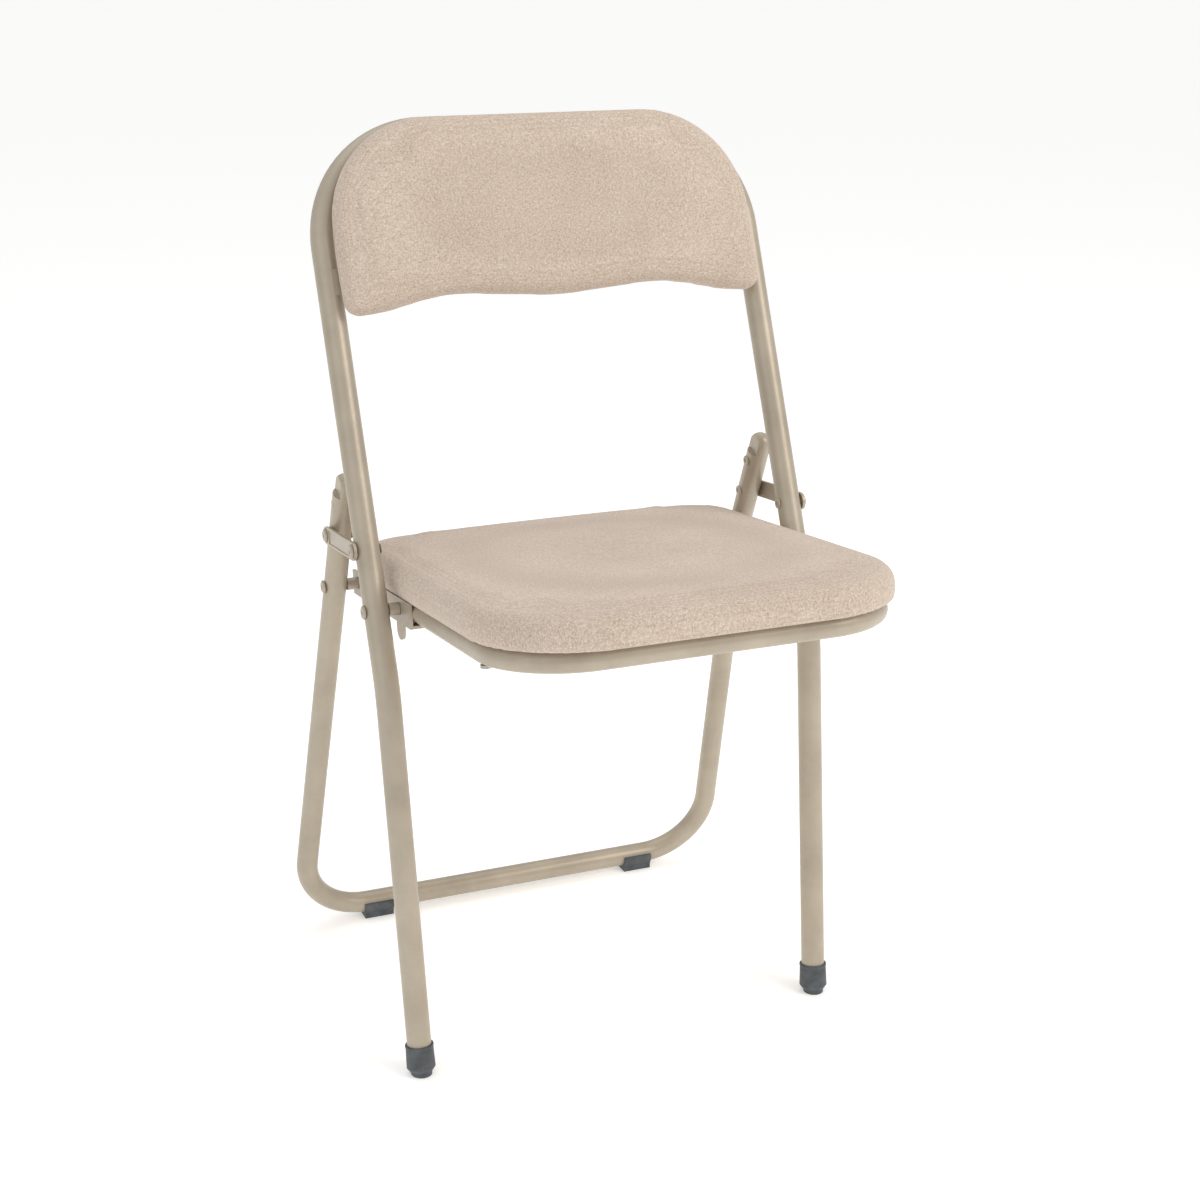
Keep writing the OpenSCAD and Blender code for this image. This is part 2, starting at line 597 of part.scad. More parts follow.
// The rear pivot is the one left open: its pin, fixed in the rear leg, runs in the bracket's slot.
rear_pivot_x = rear_half_at(rear_pivot_z);
rear_head_x = rear_pivot_x + rear_r + spread_gap;
module rear_pivot_rivet() {
    across(rear_pivot, plate_x + side_gap, rear_head_x + 0.6, rivet_r);
    rivet_head(rear_pivot, rear_head_x);
}
module rear_pivot_rivet_left() color(paint) chair() rear_pivot_rivet();
module rear_pivot_rivet_right() color(paint) chair() on_side(-1) rear_pivot_rivet();
module rear_pivot_spacer() spacer(rear_pivot, plate_out + side_gap, rear_pivot_x - rear_r - spread_gap);
module rear_pivot_spacer_left() color(paint) chair() rear_pivot_spacer();
module rear_pivot_spacer_right() color(paint) chair() on_side(-1) rear_pivot_spacer();

front_frame();
front_foot_cap_left();
front_foot_cap_right();
back_mount_tabs();
back_board();
back_foam();
back_cover();
back_screws();
rear_frame();
rear_leg_tip_left();
rear_leg_tip_right();
rear_tip_rivets();
rear_glide_left();
rear_glide_right();
seat_frame();
seat_bracket_left();
seat_bracket_right();
seat_cross_bar();
seat_board();
seat_foam();
seat_cover();
seat_screws();
link_left();
link_right();
link_front_rivet_left();
link_front_rivet_right();
link_rear_rivet_left();
link_rear_rivet_right();
seat_pivot_rivet_left();
seat_pivot_rivet_right();
seat_pivot_spacer_left();
seat_pivot_spacer_right();
rear_pivot_rivet_left();
rear_pivot_rivet_right();
rear_pivot_spacer_left();
rear_pivot_spacer_right();
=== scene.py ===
import json
import math

import bpy
from mathutils import Matrix, Vector


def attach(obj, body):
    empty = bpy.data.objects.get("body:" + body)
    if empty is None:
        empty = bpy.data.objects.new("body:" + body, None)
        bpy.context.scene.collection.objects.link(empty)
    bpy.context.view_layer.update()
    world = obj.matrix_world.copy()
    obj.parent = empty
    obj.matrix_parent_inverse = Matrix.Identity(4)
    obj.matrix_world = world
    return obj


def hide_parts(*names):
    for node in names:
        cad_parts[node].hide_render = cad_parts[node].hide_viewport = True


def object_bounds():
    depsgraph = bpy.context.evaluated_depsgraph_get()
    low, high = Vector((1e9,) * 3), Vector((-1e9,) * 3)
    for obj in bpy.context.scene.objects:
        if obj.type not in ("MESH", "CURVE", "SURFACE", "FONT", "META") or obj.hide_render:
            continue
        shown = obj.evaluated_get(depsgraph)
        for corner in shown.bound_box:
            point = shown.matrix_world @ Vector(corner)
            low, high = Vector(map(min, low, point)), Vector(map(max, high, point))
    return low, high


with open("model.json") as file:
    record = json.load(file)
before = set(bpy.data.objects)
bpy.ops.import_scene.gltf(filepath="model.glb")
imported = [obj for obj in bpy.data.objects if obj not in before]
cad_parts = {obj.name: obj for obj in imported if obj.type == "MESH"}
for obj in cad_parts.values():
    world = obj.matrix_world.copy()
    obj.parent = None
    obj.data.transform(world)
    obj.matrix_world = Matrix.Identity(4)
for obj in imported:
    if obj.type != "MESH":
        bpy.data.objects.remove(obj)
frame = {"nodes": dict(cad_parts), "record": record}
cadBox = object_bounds()
print("stage: frame loaded,", len(frame["nodes"]), "pieces of metal, rubber, board and foam")

millimetre = 0.001


# ---------------------------------------------------------------- small helpers

def linearColour(hexValue, alpha=1.0):
    channels = [int(hexValue[i:i + 2], 16) / 255 for i in (1, 3, 5)]
    linear = [c / 12.92 if c <= 0.04045 else ((c + 0.055) / 1.055) ** 2.4 for c in channels]
    return (*linear, alpha)


def addNode(tree, kind, settings=None, inputs=None):
    # an input is a plain value, or the output socket that feeds it
    node = tree.nodes.new(kind)
    for name, value in (settings or {}).items():
        setattr(node, name, value)
    for name, value in (inputs or {}).items():
        socket = node.inputs[name]
        if isinstance(value, bpy.types.NodeSocket):
            tree.links.new(value, socket)
        else:
            socket.default_value = value
    return node


def newMaterial(name, shaderInputs):
    # returns the material, its node tree and its shader, with uniform values on the shader's own sockets
    material = bpy.data.materials.new(name)
    material.use_nodes = True
    tree = material.node_tree
    tree.nodes.clear()
    shader = addNode(tree, "ShaderNodeBsdfPrincipled", inputs=shaderInputs)
    addNode(tree, "ShaderNodeOutputMaterial", inputs={"Surface": shader.outputs["BSDF"]})
    return material, tree, shader


def colourRamp(tree, factor, stops):
    node = addNode(tree, "ShaderNodeValToRGB", inputs={"Fac": factor})
    band = node.color_ramp
    while len(band.elements) > 1:
        band.elements.remove(band.elements[-1])
    band.elements[0].position = stops[0][0]
    band.elements[0].color = linearColour(stops[0][1])
    for position, hexValue in stops[1:]:
        band.elements.new(position).color = linearColour(hexValue)
    return node.outputs["Color"]


def patternScale(sizeMm):
    # a texture scale whose features are about this many millimetres across
    return 1 / (sizeMm * millimetre)


def meshObject(name, vertices, faces):
    mesh = bpy.data.meshes.new(name)
    mesh.from_pydata([tuple(v) for v in vertices], [], faces)
    mesh.update()
    obj = bpy.data.objects.new(name, mesh)
    bpy.context.scene.collection.objects.link(obj)
    return obj


def bakeModifiers(obj):
    # turns the object with its modifiers into a plain mesh
    bpy.context.view_layer.update()
    depsgraph = bpy.context.evaluated_depsgraph_get()
    finished = bpy.data.meshes.new_from_object(obj.evaluated_get(depsgraph), depsgraph=depsgraph)
    obj.modifiers.clear()
    obj.data = finished
    return obj


def smoothShade(obj):
    for polygon in obj.data.polygons:
        polygon.use_smooth = True


def turnedBox(node, turn):
    # a node's box along the axes of a tilted part, such as the seat
    corners = [turn @ v.co for v in frame["nodes"][node].data.vertices]
    low = Vector([min(c[i] for c in corners) for i in range(3)])
    high = Vector([max(c[i] for c in corners) for i in range(3)])
    return low, high


# ---------------------------------------------------------------- camera

cameraView = {"place": (-0.6569, -1.5514, 0.9627), "turn": -22.9, "tilt": 18.9, "roll": 0.5, "lens": 62.23}


def setCamera(view):
    turn = math.radians(view["turn"])
    tilt = math.radians(view["tilt"])
    roll = math.radians(view["roll"])
    back = Vector((math.sin(turn) * math.cos(tilt), -math.cos(turn) * math.cos(tilt), math.sin(tilt)))
    right = Vector((math.cos(turn), math.sin(turn), 0))
    up = back.cross(right)
    rolledRight = right * math.cos(roll) + up * math.sin(roll)
    rolledUp = -right * math.sin(roll) + up * math.cos(roll)
    camera = bpy.data.cameras.new("chairCamera")
    camera.lens = view["lens"]
    camera.sensor_width = 36
    holder = bpy.data.objects.new("chairCamera", camera)
    bpy.context.scene.collection.objects.link(holder)
    axes = Matrix((rolledRight, rolledUp, back)).transposed()
    holder.matrix_world = Matrix.Translation(view["place"]) @ axes.to_4x4()
    bpy.context.scene.camera = holder


setCamera(cameraView)


# ---------------------------------------------------------------- finishes

paintLook = {"light": "#B7AC9A", "mid": "#AEA391", "dust": "#A39886", "mottleMm": 45.0, "peelMm": 1.6,
             "roughness": 0.36, "metallic": 0.25, "peelDepthMm": 0.008}


def satinPowderCoat():
    # satin powder coat on bent tube: a soft broad highlight, faint orange peel and a slow tone drift
    look = paintLook
    material, tree, shader = newMaterial("satinPowderCoat", {
        "Metallic": look["metallic"], "Coat Weight": 0.12, "Coat Roughness": 0.3})
    place = addNode(tree, "ShaderNodeTexCoord").outputs["Object"]
    mottle = addNode(tree, "ShaderNodeTexNoise", inputs={
        "Vector": place, "Scale": patternScale(look["mottleMm"]), "Detail": 5.0, "Roughness": 0.6})
    colour = colourRamp(tree, mottle.outputs["Fac"], [
        (0.25, look["dust"]), (0.5, look["mid"]), (0.75, look["light"])])
    tree.links.new(colour, shader.inputs["Base Color"])
    rubbed = addNode(tree, "ShaderNodeTexNoise", inputs={
        "Vector": place, "Scale": patternScale(5.0), "Detail": 4.0, "Roughness": 0.55})
    spread = addNode(tree, "ShaderNodeMapRange", inputs={
        "Value": rubbed.outputs["Fac"],
        "To Min": look["roughness"] - 0.05,
        "To Max": look["roughness"] + 0.09})
    tree.links.new(spread.outputs["Result"], shader.inputs["Roughness"])
    peel = addNode(tree, "ShaderNodeTexNoise", inputs={
        "Vector": place, "Scale": patternScale(look["peelMm"]), "Detail": 2.0})
    bump = addNode(tree, "ShaderNodeBump", inputs={
        "Height": peel.outputs["Fac"], "Strength": 0.35, "Distance": look["peelDepthMm"] * millimetre * 4})
    tree.links.new(bump.outputs["Normal"], shader.inputs["Normal"])
    return material


weaveLook = {"dark": "#A99989", "mid": "#CAB9A9", "light": "#DFD2C5", "threadMm": 1.1, "fleckMm": 1.0,
             "cloudMm": 60.0, "bumpMm": 0.16}


def heatheredWeave(name, turnBack):
    # plain-woven cloth of blended yarn: pale and dark flecks along the threads, a soft fuzzy edge, and
    # painted shade darkening the grooves between the threads
    look = weaveLook
    material, tree, shader = newMaterial(name, {
        "Roughness": 0.92, "Sheen Weight": 0.35, "Sheen Roughness": 0.5,
        "Sheen Tint": linearColour("#EFE8E2"), "Specular IOR Level": 0.15})
    place = addNode(tree, "ShaderNodeTexCoord").outputs["Object"]
    # turned so that the threads run square to the pad
    square = addNode(tree, "ShaderNodeMapping", inputs={
        "Vector": place, "Rotation": (turnBack, 0, 0)}).outputs["Vector"]
    flecks = []
    for stretch in ((1.0, 2.2, 1.0), (2.2, 1.0, 1.6)):
        laid = addNode(tree, "ShaderNodeMapping", inputs={"Vector": square, "Scale": stretch})
        flecks.append(addNode(tree, "ShaderNodeTexNoise", inputs={
            "Vector": laid.outputs["Vector"], "Scale": patternScale(look["fleckMm"] * 2.2), "Detail": 3.0,
            "Roughness": 0.7}).outputs["Fac"])
    fleck = addNode(tree, "ShaderNodeMix", {"data_type": "FLOAT"}, {
        "Factor": 0.5, "A": flecks[0], "B": flecks[1]}).outputs["Result"]
    cloud = addNode(tree, "ShaderNodeTexNoise", inputs={
        "Vector": square, "Scale": patternScale(look["cloudMm"]), "Detail": 2.0}).outputs["Fac"]
    tone = addNode(tree, "ShaderNodeMix", {"data_type": "FLOAT"}, {
        "Factor": 0.08, "A": fleck, "B": cloud}).outputs["Result"]
    colour = colourRamp(tree, tone, [(0.36, look["dark"]), (0.5, look["mid"]), (0.62, look["light"])])
    threads = []
    for direction in ("X", "Y", "Z"):
        wave = addNode(tree, "ShaderNodeTexWave", {"wave_type": "BANDS", "bands_direction": direction}, {
            "Vector": square, "Scale": patternScale(look["threadMm"]) / 3.2, "Distortion": 0.8,
            "Detail": 1.0, "Detail Scale": 2.0})
        threads.append(wave.outputs["Fac"])
    warpWeft = addNode(tree, "ShaderNodeMath", {"operation": "MULTIPLY"})
    tree.links.new(threads[0], warpWeft.inputs[0])
    tree.links.new(threads[1], warpWeft.inputs[1])
    cloth = addNode(tree, "ShaderNodeMix", {"data_type": "FLOAT"}, {
        "Factor": 0.3, "A": warpWeft.outputs["Value"], "B": threads[2]}).outputs["Result"]
    # painted shade: the base colour is multiplied darker where the weave pattern dips between the threads
    groovePaintedShade = addNode(tree, "ShaderNodeMix", {"data_type": "RGBA", "blend_type": "MULTIPLY"}, {
        "Factor": 0.22, "A": colour}).outputs["Result"]
    shade = colourRamp(tree, cloth, [(0.0, "#A79A92"), (0.45, "#FFFFFF")])
    tree.links.new(shade, groovePaintedShade.node.inputs["B"])
    tree.links.new(groovePaintedShade, shader.inputs["Base Color"])
    relief = addNode(tree, "ShaderNodeMix", {"data_type": "FLOAT"}, {
        "Factor": 0.45, "A": cloth, "B": fleck}).outputs["Result"]
    bump = addNode(tree, "ShaderNodeBump", inputs={
        "Height": relief, "Strength": 0.6, "Distance": look["bumpMm"] * millimetre})
    tree.links.new(bump.outputs["Normal"], shader.inputs["Normal"])
    return material


rubberLook = {"dark": "#43474A", "light": "#595E61", "grainMm": 0.9}


def mouldedRubber():
    # injection-moulded rubber caps and clips: matt charcoal with fine spark grain and a dusty bloom
    look = rubberLook
    material, tree, shader = newMaterial("mouldedRubber", {"Specular IOR Level": 0.4})
    place = addNode(tree, "ShaderNodeTexCoord").outputs["Object"]
    bloom = addNode(tree, "ShaderNodeTexNoise", inputs={
        "Vector": place, "Scale": patternScale(9.0), "Detail": 4.0})
    colour = colourRamp(tree, bloom.outputs["Fac"], [(0.35, look["dark"]), (0.7, look["light"])])
    tree.links.new(colour, shader.inputs["Base Color"])
    rough = addNode(tree, "ShaderNodeMapRange", inputs={
        "Value": bloom.outputs["Fac"], "To Min": 0.42, "To Max": 0.62})
    tree.links.new(rough.outputs["Result"], shader.inputs["Roughness"])
    grain = addNode(tree, "ShaderNodeTexNoise", inputs={
        "Vector": place, "Scale": patternScale(look["grainMm"]), "Detail": 2.0})
    bump = addNode(tree, "ShaderNodeBump", inputs={
        "Height": grain.outputs["Fac"], "Strength": 0.4, "Distance": 0.06 * millimetre})
    tree.links.new(bump.outputs["Normal"], shader.inputs["Normal"])
    return material


def peeledPlywood():
    # rotary-cut board face: long cathedral grain along the seat, with thin dark pores
    material, tree, shader = newMaterial("peeledPlywood", {"Roughness": 0.68, "Specular IOR Level": 0.3})
    place = addNode(tree, "ShaderNodeTexCoord").outputs["Object"]
    along = addNode(tree, "ShaderNodeMapping", inputs={"Vector": place, "Scale": (1.0, 0.09, 0.3)})
    grain = addNode(tree, "ShaderNodeTexNoise", inputs={
        "Vector": along.outputs["Vector"], "Scale": patternScale(11.0), "Detail": 6.0, "Distortion": 0.6})
    colour = colourRamp(tree, grain.outputs["Fac"], [
        (0.3, "#A9855A"), (0.48, "#C6A274"), (0.6, "#D5B68C"), (0.75, "#BD9866")])
    pores = addNode(tree, "ShaderNodeTexNoise", inputs={
        "Vector": along.outputs["Vector"], "Scale": patternScale(1.8), "Detail": 3.0})
    poreShade = colourRamp(tree, pores.outputs["Fac"], [(0.36, "#B79A7C"), (0.46, "#FFFFFF")])
    mixed = addNode(tree, "ShaderNodeMix", {"data_type": "RGBA", "blend_type": "MULTIPLY"}, {
        "Factor": 0.7, "A": colour, "B": poreShade}).outputs["Result"]
    tree.links.new(mixed, shader.inputs["Base Color"])
    bump = addNode(tree, "ShaderNodeBump", inputs={
        "Height": pores.outputs["Fac"], "Strength": 0.4, "Distance": 0.08 * millimetre})
    tree.links.new(bump.outputs["Normal"], shader.inputs["Normal"])
    return material


def zincPlate():
    # zinc-plated steel screws and staples: cool grey, cloudy, with a dull shine
    material, tree, shader = newMaterial("zincPlate", {"Metallic": 1.0})
    place = addNode(tree, "ShaderNodeTexCoord").outputs["Object"]
    cloud = addNode(tree, "ShaderNodeTexNoise", inputs={
        "Vector": place, "Scale": patternScale(2.5), "Detail": 4.0})
    colour = colourRamp(tree, cloud.outputs["Fac"], [(0.35, "#9C9A94"), (0.65, "#C9C7C0")])
    tree.links.new(colour, shader.inputs["Base Color"])
    rough = addNode(tree, "ShaderNodeMapRange", inputs={
        "Value": cloud.outputs["Fac"], "To Min": 0.28, "To Max": 0.45})
    tree.links.new(rough.outputs["Result"], shader.inputs["Roughness"])
    return material


# sizes ending in Mm are millimetres; the others are degrees, ratios and millimetres of the CAD outline
seatShape = {"tilt": 7.0, "frontRadius": 92, "rearRadius": 52, "hem": 40, "hemStep": 1.3, "underMm": 44,
             "sideMm": 0.4, "sideTopMm": 12.0, "shoulder": 16, "topMarginMm": 2.5, "crown": 2.5,
             "crownFromMm": 24, "voxelMm": 5, "stapledMm": 3.0, "swellMm": 2.5, "fill": 0.7}
backShape = {"lean": 24.0, "topRadius": 92, "cornerRadius": 12, "hollow": 13, "bulge": 5.5, "underMm": 24,
             "sideMm": 0.3, "sideTopMm": 8.0, "shoulder": 12, "topMarginMm": 1.5, "crown": 1.5,
             "crownFromMm": 18, "voxelMm": 4, "stapledMm": 2.5, "swellMm": 1.8, "fill": 0.6}
pleats = {"reachMm": 12, "lowMm": 0.2, "heightShare": 0.55, "turns": 70, "cornerStart": 0.72, "depth": 2.2}
clothAir = {"pressure": 4.0, "stiffness": 25, "bending": 2.0, "quality": 6, "frames": 20}

seatTurn = Matrix.Rotation(math.radians(seatShape["tilt"]), 3, "X")
backTurn = Matrix.Rotation(-math.radians(90 - backShape["lean"]), 3, "X")

paintCoat = satinPowderCoat()
seatCloth = heatheredWeave("heatheredSeatWeave", math.radians(seatShape["tilt"]))
backCloth = heatheredWeave("heatheredBackWeave", -math.radians(90 - backShape["lean"]))
capRubber = mouldedRubber()
boardVeneer = peeledPlywood()
screwZinc = zincPlate()

slotFinish = {"paint": paintCoat, "plastic": capRubber, "plywood": boardVeneer, "zinc": screwZinc,
              "foam": seatCloth, "fabric": seatCloth}


def finishCadPieces():
    slots = {part["node"]: part["material_slot"] for part in frame["record"]["subparts"]}
    for name, obj in frame["nodes"].items():
        obj.data.materials.clear()
        obj.data.materials.append(slotFinish[slots[name]])


finishCadPieces()
print("stage: finishes made")


# ---------------------------------------------------------------- padded pieces

def arc(centreX, centreY, radius, startDegrees, steps=12):
    angles = [math.radians(startDegrees + 90 * i / steps) for i in range(steps + 1)]
    return [(centreX + radius * math.cos(a), centreY + radius * math.sin(a)) for a in angles]


def seatOutline(low, high, inset):
    # counter-clockwise outline of the seat pad, in metres, drawn in by inset
    half = high.x - inset
    front = low.y + inset
    rear = high.y - inset
    frontRadius = max(seatShape["frontRadius"] * millimetre - inset, 4 * millimetre)
    rearRadius = max(seatShape["rearRadius"] * millimetre - inset, 4 * millimetre)
    return (arc(half - rearRadius, rear - rearRadius, rearRadius, 0)
            + arc(-half + rearRadius, rear - rearRadius, rearRadius, 90)
            + arc(-half + frontRadius, front + frontRadius, frontRadius, 180)
            + arc(half - frontRadius, front + frontRadius, frontRadius, 270))


def backOutline(low, high, inset):
    # the same for the back pad, whose lower edge has two shallow hollows and a bulge between them
    half = high.x - inset
    top = high.y - inset
    bottom = low.y + inset
    topRadius = backShape["topRadius"] * millimetre - inset
    cornerRadius = max(backShape["cornerRadius"] * millimetre - inset, 5 * millimetre)
    hollow = backShape["hollow"] * millimetre
    bulge = backShape["bulge"] * millimetre
    cornerX = half - cornerRadius
    hollowX = half * 0.49
    lower = []
    for step in range(1, 48):
        x = -cornerX + 2 * cornerX * step / 48
        if abs(x) < hollowX:
            rise = hollow - bulge * (1 + math.cos(math.pi * x / hollowX)) / 2
        else:
            rise = hollow * (1 + math.cos(math.pi * (abs(x) - hollowX) / (cornerX - hollowX))) / 2
        lower.append((x, bottom + rise))
    return (arc(half - topRadius, top - topRadius, topRadius, 0)
            + arc(-half + topRadius, top - topRadius, topRadius, 90)
            + arc(-cornerX, bottom + cornerRadius, cornerRadius, 180, 8)
            + lower
            + arc(cornerX, bottom + cornerRadius, cornerRadius, 270, 8))


def loftPad(name, outline, profile, base):
    # rings of one outline at rising heights, closed below and above
    vertices = []
    faces = []
    for inset, height in profile:
        vertices += [(x, y, base + height * millimetre) for x, y in outline(inset * millimetre)]
    count = len(outline(0.0))
    for ring in range(len(profile) - 1):
        for i in range(count):
            j = (i + 1) % count
            below = ring * count
            above = below + count
            faces.append((below + i, below + j, above + j, above + i))
    faces.append(tuple(range(count - 1, -1, -1)))
    last = (len(profile) - 1) * count
    faces.append(tuple(range(last, last + count)))
    return meshObject(name, vertices, faces)


def remeshPad(obj, voxelMm):
    remesh = obj.modifiers.new("remesh", "REMESH")
    remesh.mode = "VOXEL"
    remesh.voxel_size = voxelMm * millimetre
    remesh.use_smooth_shade = True
    return bakeModifiers(obj)


def swellPad(obj, base, stapledMm, moveLimitMm):
    # air pressure fills the fabric, which stays stapled along its base
    before = [(v.co.copy(), v.normal.copy()) for v in obj.data.vertices]
    group = obj.vertex_groups.new(name="stapled")
    stapled = [v.index for v in obj.data.vertices if v.co.z < base + stapledMm * millimetre]
    group.add(stapled, 1.0, "REPLACE")
    cloth = obj.modifiers.new("cloth", "CLOTH")
    cloth.settings.use_pressure = True
    cloth.settings.uniform_pressure_force = clothAir["pressure"]
    cloth.settings.effector_weights.gravity = 0
    cloth.settings.vertex_group_mass = "stapled"
    cloth.settings.tension_stiffness = clothAir["stiffness"]
    cloth.settings.compression_stiffness = clothAir["stiffness"]
    cloth.settings.bending_stiffness = clothAir["bending"]
    cloth.settings.quality = clothAir["quality"]
    cloth.point_cache.frame_start = 1
    cloth.point_cache.frame_end = clothAir["frames"]
    scene = bpy.context.scene
    for number in range(1, clothAir["frames"] + 1):
        scene.frame_set(number)
    bakeModifiers(obj)
    scene.frame_set(1)
    # the foam lets the cloth swell a little and keeps it from sinking
    for vertex, (start, outward) in zip(obj.data.vertices, before):
        swell = (vertex.co - start).dot(outward) / millimetre
        vertex.co = start + outward * (min(max(swell, 0), moveLimitMm) * millimetre)
    obj.vertex_groups.clear()


def subdividePad(obj):
    subdivision = obj.modifiers.new("subdivision", "SUBSURF")
    subdivision.levels = 1
    subdivision.render_levels = 1
    soften = obj.modifiers.new("soften", "SMOOTH")
    soften.factor = 0.5
    soften.iterations = 5
    bakeModifiers(obj)


def padProfile(shape, thickness):
    # (inset, height) pairs in millimetres: flat under, nearly upright at the side, then a round shoulder
    side = shape["sideMm"]
    sideTop = shape["sideTopMm"]
    rise = thickness - shape["topMarginMm"] - sideTop
    profile = [(shape["underMm"], 0.0), (side + 2.0, 0.0), (side + 0.6, 1.2), (side, 3.5), (side, sideTop)]
    for step in range(1, 11):
        angle = math.radians(9 * step)
        profile.append((side + shape["shoulder"] * (1 - math.cos(angle) ** 0.9),
                        sideTop + rise * math.sin(angle) ** 0.9))
    return profile


def crownPad(pad, low, high, shape):
    # the foam stands highest in the middle of the pad
    middle = (low.y + high.y) / 2
    for vertex in pad.data.vertices:
        if vertex.co.z > low.z + shape["crownFromMm"] * millimetre:
            across = max(1 - (vertex.co.x / high.x) ** 2, 0)
            along = max(1 - ((vertex.co.y - middle) / (high.y - middle)) ** 2, 0)
            vertex.co.z += shape["crown"] * millimetre * across ** 0.8 * along ** 0.8


def cornerDistance(x, y, low, high, cornerRadius):
    # distance from a rounded outline, negative inside
    centreY = (low.y + high.y) / 2
    halfLength = (high.y - low.y) / 2
    acrossX = abs(x) - high.x + cornerRadius
    acrossY = abs(y - centreY) - halfLength + cornerRadius
    outside = math.hypot(max(acrossX, 0), max(acrossY, 0))
    return outside + min(max(acrossX, acrossY), 0) - cornerRadius


def placePad(obj, turn, body, material, nodes):
    # from the pad's own axes to the chair's
    obj.data.transform(turn.inverted().to_4x4())
    smoothShade(obj)
    obj.data.materials.clear()
    obj.data.materials.append(material)
    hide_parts(*nodes)
    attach(obj, body)


def stuffedPad(name, outline, low, high, shape):
    # the whole pad: lofted, rounded, crowned, and swelled by its filling
    profile = padProfile(shape, (high.z - low.z) / millimetre)
    pad = loftPad(name, lambda inset: outline(low, high, inset), profile, low.z)
    remeshPad(pad, shape["voxelMm"])
    crownPad(pad, low, high, shape)
    swellPad(pad, low.z, shape["stapledMm"], shape["swellMm"])
    subdividePad(pad)
    return pad


def foldHem(vertex, low, inside):
    # the hem is folded under the board, whose face shows inside it
    if vertex.co.z < low.z + 1.2 * millimetre and inside > 4 * millimetre:
        vertex.co.z = low.z
        if inside > seatShape["hem"] * millimetre:
            vertex.co.z = low.z + seatShape["hemStep"] * millimetre


def pleatCorner(vertex, low, high, inside):
    # soft pleats where the cloth is drawn round the corners
    middle = (low.y + high.y) / 2
    height = (vertex.co.z - low.z) / millimetre
    top = (high.z - low.z) / millimetre * pleats["heightShare"]
    if inside < pleats["reachMm"] * millimetre and pleats["lowMm"] < height < top:
        alongShare = min(abs(vertex.co.y - middle) / ((high.y - low.y) / 2), 1)
        cornerness = min(abs(vertex.co.x) / high.x, 1) * alongShare
        angle = math.atan2(vertex.co.y - middle, vertex.co.x)
        depth = max(cornerness - pleats["cornerStart"], 0) * pleats["depth"]
        wave = math.sin(angle * pleats["turns"]) * depth
        outward = Vector((vertex.co.x, vertex.co.y - middle, 0)).normalized()
        vertex.co += outward * wave * (1 - height / top) * millimetre


def seatPad():
    low, high = turnedBox("seat_cover", seatTurn)
    pad = stuffedPad("seatPad", seatOutline, low, high, seatShape)
    for vertex in pad.data.vertices:
        radius = (seatShape["rearRadius"] if vertex.co.y > 0 else seatShape["frontRadius"]) * millimetre
        inside = -cornerDistance(vertex.co.x, vertex.co.y, low, high, radius)
        foldHem(vertex, low, inside)
        pleatCorner(vertex, low, high, inside)
    placePad(pad, seatTurn, "seat", seatCloth, ["seat_cover", "seat_foam"])


def backPad():
    low, high = turnedBox("back_cover", backTurn)
    # underMm is small here, because the outline can't be drawn in far along its lower edge
    pad = stuffedPad("backPad", backOutline, low, high, backShape)
    for vertex in pad.data.vertices:
        if vertex.co.z < low.z + 0.9 * millimetre:
            vertex.co.z = max(vertex.co.z, low.z)
    placePad(pad, backTurn, "front", backCloth, ["back_cover", "back_foam"])


seatPad()
print("stage: seat pad upholstered")
backPad()
print("stage: back pad upholstered")


# ---------------------------------------------------------------- staples and welds

def groupSocket(tree, name, kind, value=None, direction="INPUT"):
    socket = tree.interface.new_socket(name=name, in_out=direction, socket_type=kind)
    if value is not None:
        socket.default_value = value
    return socket


